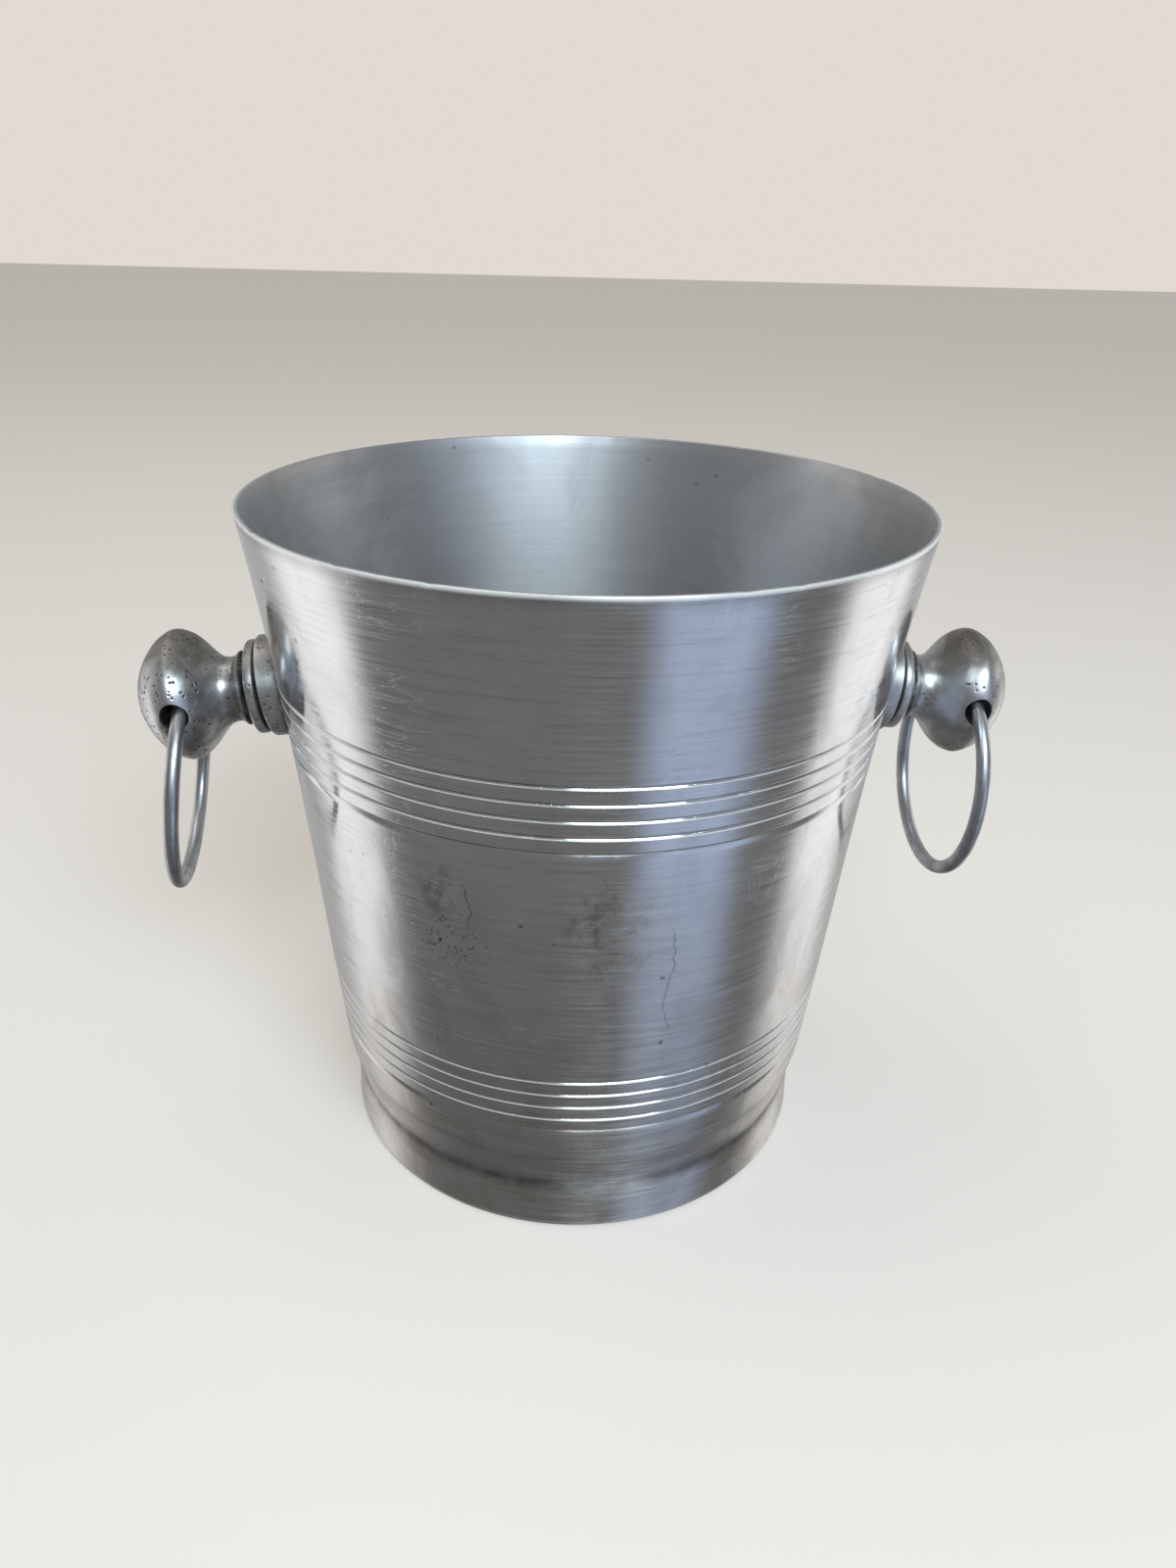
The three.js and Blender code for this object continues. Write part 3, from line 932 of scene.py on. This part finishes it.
# ---- rings ----
def make_ring(side, name, metal, seed):
    """A closed ring of round wire, bent by hand."""
    bm = bmesh.new()
    lie, twist = (math.radians(v) for v in RING_LIE[side])
    spin = Matrix.Rotation(-lie, 3, "Y") @ Matrix.Rotation(twist, 3, "Z")
    if side < 0:
        spin = Matrix.Rotation(math.pi, 3, "Z") @ spin
    eye = Vector((side * EYE_OUT, 0, EYE_Z))
    around, across = 220, 28
    loops = []
    for i in range(around):
        a = TAU * i / around
        wob = 0.12 * noise.noise(Vector((math.cos(a) * 1.3, math.sin(a) * 1.3, seed)))
        out = 0.1 * noise.noise(Vector((math.cos(a) * 1.1, math.sin(a) * 1.1, seed + 9)))
        r_mid = RING_R + wob
        loop = []
        for k in range(across):
            b = TAU * k / across
            flat = 1 - 0.03 * noise.noise(
                Vector((math.cos(a) * 5, math.sin(a) * 5, math.cos(b) + seed))
            )
            wire = WIRE_R * 0.995 * min(flat, 1.0)
            r = r_mid + wire * math.cos(b)
            p = Vector((out + wire * math.sin(b), r * math.sin(a), r * math.cos(a) - RING_DROP))
            loop.append(bm.verts.new((eye + spin @ p) * MM))
        loops.append(loop)
    for i in range(around):
        one, two = loops[i], loops[(i + 1) % around]
        for k in range(across):
            n = (k + 1) % across
            bm.faces.new((one[k], one[n], two[n], two[k])).smooth = True
    bmesh.ops.recalc_face_normals(bm, faces=bm.faces)
    mesh = to_mesh(bm, f"{name}_wire")
    body = f"{name.split('_')[1]}_ring"
    return link(f"{name}_wire", mesh, metal, body, [name])


# ---- washers and screws ----
def make_washer(side, name, metal):
    x1 = WASHER_FACE
    x0 = x1 - WASHER_T
    outer = WASHER_R
    prof = [(HOLE_R, x1), (HOLE_R, x0 + 0.2), (HOLE_R + 0.2, x0), (outer - 0.5, x0)]
    for i in range(7):
        a = (i / 6) * math.pi / 2
        prof.append((outer - 0.5 + 0.5 * math.sin(a), x0 + 0.5 - 0.5 * math.cos(a)))
    prof += [(outer, x1 - 0.1), (outer - 0.1, x1)]
    bm = turned(prof, 96, on_mount(side))
    mesh = to_mesh(bm, f"{name}_plate", 35)
    return link(f"{name}_plate", mesh, metal, "bucket", [name])


def make_screw(side, name, metal):
    face = WASHER_FACE - WASHER_T - 0.3
    x0 = face - 3.0
    x1 = cavity_points()[0][1] - 3.1
    prof = [(0.0, x0)]
    for i in range(1, 11):
        a = (i / 10) * math.pi / 2
        prof.append((HEAD_R * math.sin(a), x0 + 1.5 * (1 - math.cos(a))))
    prof += [(HEAD_R, face - 0.15), (HEAD_R - 0.15, face), (SHANK_R, face)]
    z = face
    while z < x1 - 2.4:
        prof += [(SHANK_R, z + 0.1), (SHANK_R - 0.28, z + 0.5), (SHANK_R, z + 0.9)]
        z += 1.0
    prof += [(SHANK_R - 0.6, x1 - 0.5), (SHANK_R - 0.9, x1), (0.0, x1)]
    bm = turned(prof, 64, on_mount(side))
    obj = link(
        f"{name}_pan_head", to_mesh(bm, name), metal, "bucket", [name]
    )
    slot = bmesh.new()
    size = Matrix.Diagonal((2.4 * MM, 14 * MM, 1.2 * MM, 1.0))
    spin = Matrix.Rotation(math.radians(24 * side), 4, "X")
    spot = Matrix.Translation(on_mount(side)(0.0, 0.0, x0))
    lean = Matrix.Rotation(DROOP * side, 4, "Y")
    bmesh.ops.create_cube(slot, size=1.0, matrix=spot @ lean @ spin @ size)
    cut(obj, [cutter(slot, "slot")])
    obj.data.set_sharp_from_angle(angle=math.radians(35))
    return obj


# ---- stage and light ----
FLOOR_HALF = 6.0
FLOOR_TONE = (0.72, 0.67, 0.61, 1)
FLOOR_GLOW = 0.28
ROOM_FRONT = (0.2, 0.2, 0.2)
ROOM_BACK = (0.5, 0.5, 0.5)
ROOM_LOW = (0.15, 0.15, 0.15)
ROOM_TOP = (0.3, 0.3, 0.3)
# soft panels: bearing, half width and soft edge in degrees, and colour
PANELS = (
    (-110, 10, 15, (1.2, 1.2, 1.2)),
    (110, 10, 15, (1.2, 1.2, 1.2)),
    (40, 10, 20, (0.5, 0.6, 0.8)),
)


def make_floor():
    mesh = bpy.data.meshes.new("floor")
    half = FLOOR_HALF
    mesh.from_pydata(
        [(-half, -half, 0), (half, -half, 0), (half, half, 0), (-half, half, 0)],
        [],
        [(0, 1, 2, 3)],
    )
    m, t = new_material("floor_pale")
    n = t.nodes.new("ShaderNodeBsdfPrincipled")
    n.inputs["Base Color"].default_value = FLOOR_TONE
    n.inputs["Emission Color"].default_value = FLOOR_TONE
    n.inputs["Emission Strength"].default_value = FLOOR_GLOW
    n.inputs["Roughness"].default_value = 0.7
    n.inputs["Specular IOR Level"].default_value = 0.2
    out = t.nodes.new("ShaderNodeOutputMaterial")
    t.links.new(n.outputs[0], out.inputs[0])
    mesh.materials.append(m)
    obj = bpy.data.objects.new("floor", mesh)
    bpy.context.scene.collection.objects.link(obj)
    # the metal reflects the room and not the floor
    obj.visible_glossy = False
    return obj


def make_world():
    """A plain grey studio: a soft upright panel on each side behind, and a cool one in front."""
    world = bpy.data.worlds.new("studio")
    bpy.context.scene.world = world
    world.use_nodes = True
    t = Tree(world.node_tree)
    x, y, z = t.split(t.coords("Generated"))
    bearing = t.math("ARCTAN2", x, t.mul(y, -1.0))
    aside = t.math("ABSOLUTE", bearing)
    colour = t.mix(t.between(aside, math.radians(90), math.radians(130)), ROOM_FRONT, ROOM_BACK)
    for turn, half, soft, tint in PANELS:
        off = t.math("ABSOLUTE", t.sub(bearing, math.radians(turn)))
        inside = t.between(off, math.radians(half), math.radians(half + soft), 1.0, 0.0)
        colour = t.mix(inside, colour, tint)
    colour = t.mix(t.between(z, -0.95, -0.6, 1.0, 0.0), colour, ROOM_LOW)
    colour = t.mix(t.between(z, 0.0, 0.9), colour, ROOM_TOP)
    lit = t.nodes.new("ShaderNodeBackground")
    t.put(lit.inputs["Color"], colour)
    lit.inputs["Strength"].default_value = 1.0
    # the camera itself sees an even pale backdrop
    seen = t.nodes.new("ShaderNodeBackground")
    seen.inputs["Color"].default_value = (0.8, 0.74, 0.67, 1)
    seen.inputs["Strength"].default_value = 0.95
    pick = t.nodes.new("ShaderNodeMixShader")
    path = t.nodes.new("ShaderNodeLightPath")
    t.links.new(path.outputs["Is Camera Ray"], pick.inputs[0])
    t.links.new(lit.outputs[0], pick.inputs[1])
    t.links.new(seen.outputs[0], pick.inputs[2])
    out = t.nodes.new("ShaderNodeOutputWorld")
    t.links.new(pick.outputs[0], out.inputs[0])


def area_light(name, place, target, size, power, colour):
    data = bpy.data.lights.new(name, "AREA")
    data.shape, data.size, data.size_y = "RECTANGLE", size[0], size[1]
    data.energy, data.color = power, colour
    obj = bpy.data.objects.new(name, data)
    bpy.context.scene.collection.objects.link(obj)
    obj.location = place
    way = Vector(target) - Vector(place)
    obj.rotation_euler = way.to_track_quat("-Z", "Y").to_euler()
    return obj


def make_lights():
    area_light("window", (0.3, -1.25, 1.25), (0, 0, 0.15), (1.0, 0.6), 24, (0.74, 0.89, 1.0))
    area_light("top_soft", (-0.6, 0.3, 1.7), (0, 0, 0.1), (1.2, 1.2), 5, (1.0, 0.97, 0.93))


# ---- build ----
make_camera()
make_floor()
make_world()
make_lights()

outside, inside = outer_metal(), inner_metal()
casts = {-1: cast_metal("cast_worn", 1.0), 1: cast_metal("cast_smooth", 0.2)}
wire, steel = wire_metal(), screw_metal()
make_shell(outside, inside)
for side, word in ((-1, "left"), (1, "right")):
    make_knob(side, f"knob_{word}", casts[side], 3.7 * side)
    make_spacer(side, f"spacer_{word}", casts[side], 5.1 * side)
    make_ring(side, f"ring_{word}", wire, 2.3 * side)
    make_washer(side, f"washer_{word}", steel)
    make_screw(side, f"screw_{word}", steel)

scene = bpy.context.scene
scene.view_settings.view_transform = "Standard"
scene.view_settings.look = "None"
